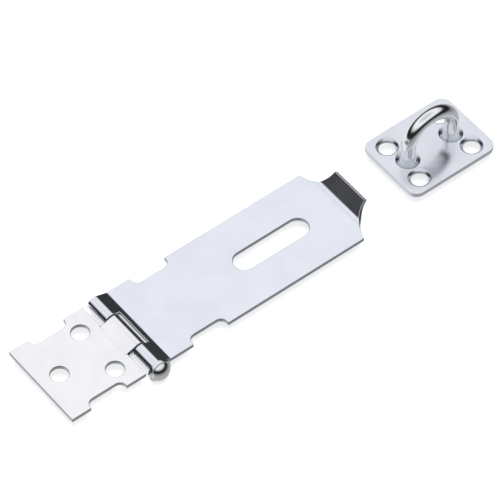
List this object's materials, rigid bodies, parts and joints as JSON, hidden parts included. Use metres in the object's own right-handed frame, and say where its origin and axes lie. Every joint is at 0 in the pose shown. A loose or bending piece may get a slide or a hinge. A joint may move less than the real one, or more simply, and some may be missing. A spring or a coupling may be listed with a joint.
{
  "type": "hasp and staple",
  "caption": "Pressed-steel hinged hasp with an obround slot, notched edges and a turned-up tip, with a separate round-bar staple on a countersunk plate.",
  "frame": {"origin": "on the fixed leaf's back face, midway between its two side-by-side screw holes", "axes": "+X along the hasp from the fixed leaf towards the staple, +Y across the leaves, +Z away from the surface the parts are screwed to"},
  "size_m": [0.1415, 0.0301, 0.0184],
  "materials": {
    "hinge_leaf": "bright zinc plate",
    "hinge_pin": "bright zinc plate",
    "hasp_leaf": "bright zinc plate",
    "staple_plate": "bright zinc plate",
    "staple_loop": "bright zinc plate"
  },
  "bodies": {
    "fixed": {"hinge_leaf": "hinge_leaf", "hinge_pin": "hinge_pin"},
    "hasp": {"hasp_leaf": "hasp_leaf"},
    "staple": {"staple_plate": "staple_plate", "staple_loop": "staple_loop"}
  },
  "joints": [
    {"name": "hasp_hinge", "type": "hinge", "parent": "fixed", "child": "hasp", "pos_m": [0.0089, 0, 0.0004], "axis": [0, -1, 0], "range_deg": [0, 120]},
    {"name": "staple_slide", "type": "slide", "parent": "fixed", "child": "staple", "axis": [1, 0, 0], "range_m": [-0.01, 0.03]}
  ]
}
